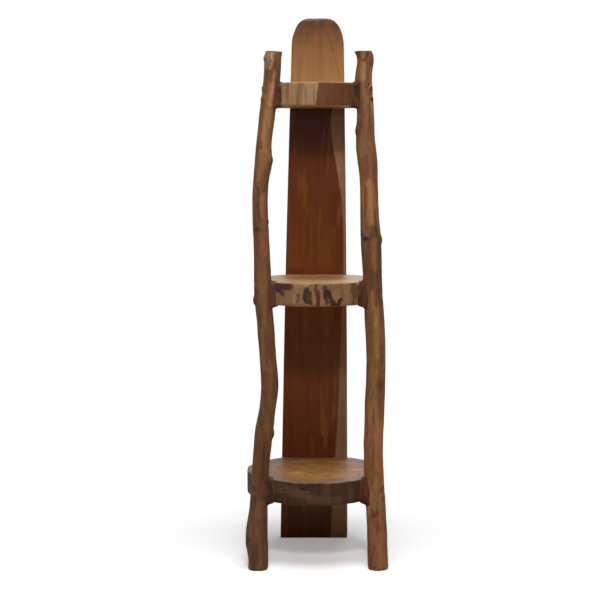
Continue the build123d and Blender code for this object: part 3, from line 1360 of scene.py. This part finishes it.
@dataclass
class Screws:
    """The wood screws of a joint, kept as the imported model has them."""

    node: str

    def places(self) -> list[tuple[Vector, Vector]]:
        """Finds the screws of the node, the lower one first.

        Returns:
            The middle of each screw's head, and the way it faces.
        """
        points = places_of(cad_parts[self.node])
        split = (points[:, 2].min() + points[:, 2].max()) / 2
        found = []
        for half in (points[points[:, 2] < split], points[points[:, 2] >= split]):
            axis = Vector(np.linalg.svd(half - half.mean(0), full_matrices=False)[2][0])
            if axis.y > 0:
                axis = -axis
            reach = (half - half.mean(0)) @ np.array(axis)
            found.append((Vector(half.mean(0)) + axis * float(reach.max()), axis))
        return found

    def dress(self, finish: bpy.types.Material) -> None:
        """Gives the screws their material."""
        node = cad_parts[self.node]
        node.data.materials.clear()
        node.data.materials.append(finish)


@dataclass
class Studio:
    """The camera, the pale floor and the soft light."""

    eye: Point = (-0.030, -2.851, 0.7368)
    tilt: float = 5.234
    lens: float = 93.0
    sensor: float = 36.0
    floor_size: float = 60.0
    floor_glow: float = 0.27
    ambient: float = 0.1
    floor_fade: tuple[float, float] = (0.13, 0.45)
    floor_bounce: Colour = tone(215, 212, 208)
    floor_paint: tuple[Colour, Colour] = (tone(248, 248, 249), tone(251, 251, 251))
    aim: Point = (0.0, 0.0, 0.5)

    def build(self) -> None:
        """Sets the camera, the floor, the lamps and the world."""
        self.camera()
        self.floor()
        self.lamp("overhead_softbox", (0.1, -0.9, 3.4), 1.6, 60)
        self.lamp("front_softbox", (0.2, -3.2, 2.3), 1.2, 12)
        self.lamp("key_softbox", (0.0, -1.9, 1.80), 0.25, 16.5)
        self.lamp("rear_softbox", (0.6, 2.6, 1.9), 1.2, 14)
        self.world()

    def camera(self) -> None:
        """The camera, where the photograph was taken from."""
        bpy.ops.object.camera_add(location=self.eye, rotation=(radians(90 - self.tilt), 0.0, 0.0))
        camera = bpy.context.object
        camera.data.lens = self.lens
        camera.data.sensor_width = self.sensor
        bpy.context.scene.camera = camera

    def lamp(self, name: str, place: Point, size: float, power: float) -> None:
        """Adds a square softbox that faces the shelf's middle.

        Args:
            name: Its name.
            place: Where it hangs.
            size: Its width and height.
            power: Its power in watts.
        """
        direction = Vector(self.aim) - Vector(place)
        bpy.ops.object.light_add(
            type="AREA", location=place, rotation=direction.to_track_quat("-Z", "Y").to_euler()
        )
        lamp = bpy.context.object
        lamp.name = name
        lamp.data.size = size
        lamp.data.energy = power

    def floor(self) -> None:
        """The floor, which the camera sees as white where no shadow falls."""
        bpy.ops.mesh.primitive_plane_add(size=self.floor_size)
        floor = bpy.context.object
        floor.name = "floor"
        shader = Shader("floor_paint")
        shader.tree.nodes.remove(shader.surface)
        speck = shader.noise(shader.place, 3.0, detail=2)
        base = shader.mix(speck, *self.floor_paint)
        paint = shader.node("ShaderNodeBsdfDiffuse", inputs={"Color": base})
        dull = shader.node("ShaderNodeBsdfDiffuse", inputs={"Color": self.floor_bounce})
        glow = shader.white_light("ShaderNodeEmission", self.floor_glow)
        lit = shader.node("ShaderNodeAddShader", inputs={0: paint, 1: glow})
        far = (shader.x ** 2.0 + shader.y ** 2.0).sum("SQRT").step(*self.floor_fade)
        shown = shader.blend(far, lit, shader.white_light("ShaderNodeEmission", 1.0))
        shader.show(shader.blend(shader.ray("Camera"), dull, shown), "Material Output")
        floor.data.materials.append(shader.material)

    def world(self) -> None:
        """A soft grey surround, white where the camera or a reflection looks at it."""
        world = bpy.data.worlds.new("surround")
        bpy.context.scene.world = world
        world.use_nodes = True
        nodes = Nodes(world.node_tree)
        ambient = nodes.white_light("ShaderNodeBackground", self.ambient)
        white = nodes.white_light("ShaderNodeBackground", 1.0)
        seen = nodes.ray("Camera").sum("MAXIMUM", nodes.ray("Glossy"))
        seen = seen.sum("MAXIMUM", nodes.ray("Transmission"))
        nodes.show(nodes.blend(seen, ambient, white), "World Output")


PURPLE = tone(66, 36, 42)
DROP = tone(46, 24, 15)
ORANGE = tone(92, 50, 24)
OCHRE = tone(94, 64, 30)
SCAR = tone(156, 122, 92)
SCAR_RIM = tone(178, 140, 104)
PINK = tone(170, 116, 86)
ROSE = tone(140, 80, 60)
GOLD = tone(160, 118, 68)
TAN = tone(150, 106, 68)
UMBER = tone(88, 52, 30)
OXBLOOD = tone(112, 50, 36)
BLACK_BROWN = tone(52, 28, 17)
RUSSET = tone(112, 78, 54)

SLICES = (
    LogSlice(
        "bottom",
        heart=0.094,
        shift=1.7,
        colours={
            "sap_colour": tone(126, 97, 73),
            "heart_colour": tone(160, 111, 56),
            "ray_colour": tone(190, 148, 84),
            "side_colour": tone(67, 41, 24),
            "side_dark": tone(40, 23, 15),
            "side_pale": tone(88, 62, 42),
        },
        pits=((-0.064, 0.149), (-0.058, 0.143), (-0.026, 0.148), (-0.010, 0.152), (-0.016, 0.145)),
        stains=stains(
            # The first three black-brown strokes lie over the borer holes: painted shade in the
            # holes.
            (-66, 150, -57, 143, 6, BLACK_BROWN, 0.8),
            (-28, 148, -22, 148, 6, BLACK_BROWN, 0.8),
            (-12, 152, -6, 150, 6, BLACK_BROWN, 0.8),
            (-78, 148, -20, 136, 16, RUSSET, 0.45),
            (-10, 130, 40, 126, 14, RUSSET, 0.3),
        ),
    ),
    LogSlice(
        "middle",
        heart=0.060,
        shift=4.1,
        colours={
            "sap_colour": tone(174, 137, 96),
            "heart_colour": tone(152, 106, 62),
            "ray_colour": tone(164, 120, 72),
            "side_colour": tone(138, 102, 68),
            "side_dark": tone(110, 76, 46),
            "side_pale": tone(170, 134, 96),
        },
        stains=stains(
            (-73, 507, -51, 509, 15, PURPLE, 0.9),
            (-68, 500, -62, 494, 11, PURPLE, 0.9),
            (-36, 494, -35, 482, 6, DROP, 0.55),
            (-18, 504, -23, 488, 9, DROP, 0.9),
            (-22, 488, -19, 480, 6, DROP, 0.9),
            (-12, 500, -12, 478, 6, DROP, 0.7),
            (-17, 500, -16, 480, 7.5, DROP, 0.75),
            (-2, 514, 1, 468, 6, ORANGE, 0.9),
            (3, 500, 4, 476, 4.5, DROP, 0.9),
            (13, 506, 19, 494, 11, PURPLE, 0.9),
            (16, 498, 18, 482, 8.5, DROP, 0.8),
            (21, 500, 34, 474, 6.5, DROP, 0.9),
            (26, 482, 30, 470, 6, DROP, 0.9),
            (36, 472, 42, 486, 6, DROP, 0.9),
            (65, 514, 66, 470, 5.5, OCHRE, 0.9),
            (71, 512, 71, 484, 3.5, OCHRE, 0.9),
            (80, 512, 79, 472, 7, DROP, 0.8),
        ),
        cracks=((0.8, 0.020, 0.0016),),
    ),
    LogSlice(
        "top",
        heart=0.052,
        shift=7.3,
        colours={
            "sap_colour": tone(166, 130, 90),
            "heart_colour": tone(140, 94, 56),
            "ray_colour": tone(150, 104, 60),
            "side_colour": tone(160, 124, 88),
            "side_dark": tone(120, 84, 52),
            "side_pale": tone(182, 146, 106),
            "right_side_colour": tone(100, 60, 34),
        },
        low_rim_shade=0.0,
    ),
)

BRANCHES = (
    Branch(
        Side.LEFT,
        shift=2.3,
        top_slope=radians(3.0),
        # Brightness by height: partly the wood's tone, partly painted light and shade.
        tone_and_shade_levels=(
            (0.02, 0.62), (0.12, 0.66), (0.20, 0.76), (0.36, 0.70), (0.48, 0.74), (0.56, 0.86),
            (0.66, 0.96), (0.75, 1.08), (0.81, 1.16), (0.89, 0.98), (0.93, 0.88),
        ),
        knots=(
            Knot(0.733, 62, 0.0075, stretch=1.7, stand=0.45, dark=0.5),
            Knot(0.622, 66, 0.0055, stretch=1.5, stand=0.4, dark=0.5),
            Knot(0.608, -40, 0.0050, stretch=0.7, stand=0.1, dark=0.6),
            Knot(0.243, 75, 0.0085, stretch=1.5, stand=0.4, dark=0.6),
            Knot(0.052, -80, 0.013, stretch=1.6, stand=0.2, dark=0.5),
            Knot(0.482, -95, 0.004, stretch=2.2, stand=0.9, dark=0.9),
            Knot(0.128, 25, 0.005, stretch=1.4, stand=0.15, dark=0.6),
        ),
        marks=stains(
            (-88, 920, -90, 900, 10, SCAR, 0.8),
            (-81, 922, -79, 908, 2.8, SCAR_RIM, 0.9),
            (-79, 908, -86, 893, 2.8, SCAR_RIM, 0.9),
            (-75, 918, -75, 902, 7, UMBER, 0.9),
            (-70, 926, -62, 900, 9, OXBLOOD, 0.6),
            (-76, 892, -79, 862, 3.5, PINK, 0.9),
            (-79, 866, -83, 832, 6, PINK, 0.9),
            (-70, 880, -73, 858, 6, UMBER, 0.9),
            (-76, 838, -74, 818, 7.5, BLACK_BROWN, 0.7),
            (-90, 820, -97, 770, 8, GOLD, 0.7),
            (-100, 750, -104, 700, 6, TAN, 0.6),
            (-105, 684, -106, 642, 3.2, BLACK_BROWN, 0.8),
            (-97, 672, -98, 630, 6, TAN, 0.6),
            (-108, 609, -100, 606, 2.8, BLACK_BROWN, 0.7),
            (-92, 600, -94, 560, 6, ROSE, 0.4),
            (-86, 540, -86, 455, 9, UMBER, 0.6),
            (-100, 430, -94, 360, 6, TAN, 0.4),
            (-88, 420, -83, 330, 5, OXBLOOD, 0.5),
            (-96, 110, -94, 50, 7, UMBER, 0.6),
        ),
    ),
    Branch(
        Side.RIGHT,
        shift=5.9,
        top_slope=radians(-0.8),
        tone_and_shade_levels=(
            # Brightness by height: partly the wood's tone, partly painted light and shade.
            (0.02, 1.05), (0.12, 1.20), (0.20, 1.42), (0.36, 0.90), (0.50, 0.68), (0.57, 0.62),
            (0.66, 1.16), (0.76, 1.00), (0.82, 0.94), (0.89, 1.04), (0.93, 0.96),
        ),
        knots=(
            Knot(0.785, -80, 0.008, stretch=1.8, stand=0.3, dark=0.6),
            Knot(0.594, -35, 0.0090, stretch=0.75, stand=0.2, dark=0.9),
            Knot(0.590, 85, 0.0075, stretch=1.8, stand=0.3, dark=0.5),
            Knot(0.330, 25, 0.006, stretch=1.6, stand=0.1, dark=0.5),
            Knot(0.395, -60, 0.005, stretch=1.5, stand=0.2, dark=0.6),
            Knot(0.098, -15, 0.005, stretch=1.6, stand=0.1, dark=0.6),
        ),
        marks=stains(
            (92, 926, 85, 910, 3.4, BLACK_BROWN, 0.9),
            (84, 912, 90, 900, 3, BLACK_BROWN, 0.8),
            (83, 904, 83, 878, 8.5, GOLD, 0.75),
            (83, 922, 82, 916, 5, TAN, 0.7),
            (97, 896, 99, 860, 4.5, PINK, 0.8),
            (75, 870, 77, 820, 9, UMBER, 0.8),
            (70, 860, 71, 835, 6, BLACK_BROWN, 0.7),
            (91, 868, 90, 840, 3, ROSE, 0.6),
            (99, 832, 101, 808, 6, PINK, 0.9),
            (99, 812, 103, 780, 5, ROSE, 0.8),
            (84, 812, 86, 770, 7, UMBER, 0.5),
            (94, 760, 97, 705, 5.5, ROSE, 0.7),
            (89, 740, 90, 700, 4.5, UMBER, 0.7),
            (94, 694, 96, 672, 8.5, tone(172, 112, 70), 0.7),
            (97, 668, 99, 618, 8.5, GOLD, 0.8),
            (87, 690, 90, 610, 4, UMBER, 0.8),
            (104, 640, 107, 600, 4.5, BLACK_BROWN, 0.7),
            (84, 598, 93, 594, 6, BLACK_BROWN, 0.9),
            (92, 586, 94, 540, 5, OXBLOOD, 0.7),
            (103, 586, 104, 540, 9, GOLD, 0.45),
            (96, 536, 97, 500, 8, UMBER, 0.8),
            (107, 520, 108, 480, 4.5, OXBLOOD, 0.9),
            (100, 500, 102, 470, 4.5, GOLD, 0.5),
            (108, 470, 110, 380, 6, GOLD, 0.5),
            (116, 400, 117, 370, 5, UMBER, 0.7),
            (106, 300, 107, 230, 5.5, TAN, 0.6),
            (108, 120, 110, 60, 5, UMBER, 0.6),
            (113, 60, 115, 10, 9, TAN, 0.5),
        ),
    ),
)


def main() -> None:
    """Builds the studio and the shelf, piece by piece."""
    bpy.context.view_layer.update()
    Studio().build()
    log.info("studio set")
    TongueBoard().build()
    slices = {part.name: part.build() for part in SLICES}
    paste = JointPaste().material("joint_paste")
    steel = ScrewSteel().material("screw_steel")
    for branch in BRANCHES:
        screws = [Screws(f"{part.name}_{branch.side.value}_post_screws") for part in SLICES]
        places = [place for group in screws for place in group.places()]
        shown = screws[-1].places() if branch.side is Side.RIGHT else []
        limb = branch.build(shown, places[: len(places) - len(shown)])
        for name, log_slice in slices.items():
            PastedJoint(name, branch.side).build(limb, log_slice, paste)
        for group in screws:
            group.dress(steel)
    for part in SLICES:
        Screws(f"{part.name}_board_screws").dress(steel)
    bpy.context.scene.view_settings.view_transform = "Standard"


if __name__ == "__main__":
    logging.basicConfig(level=logging.INFO, format="%(name)s %(message)s")
    main()
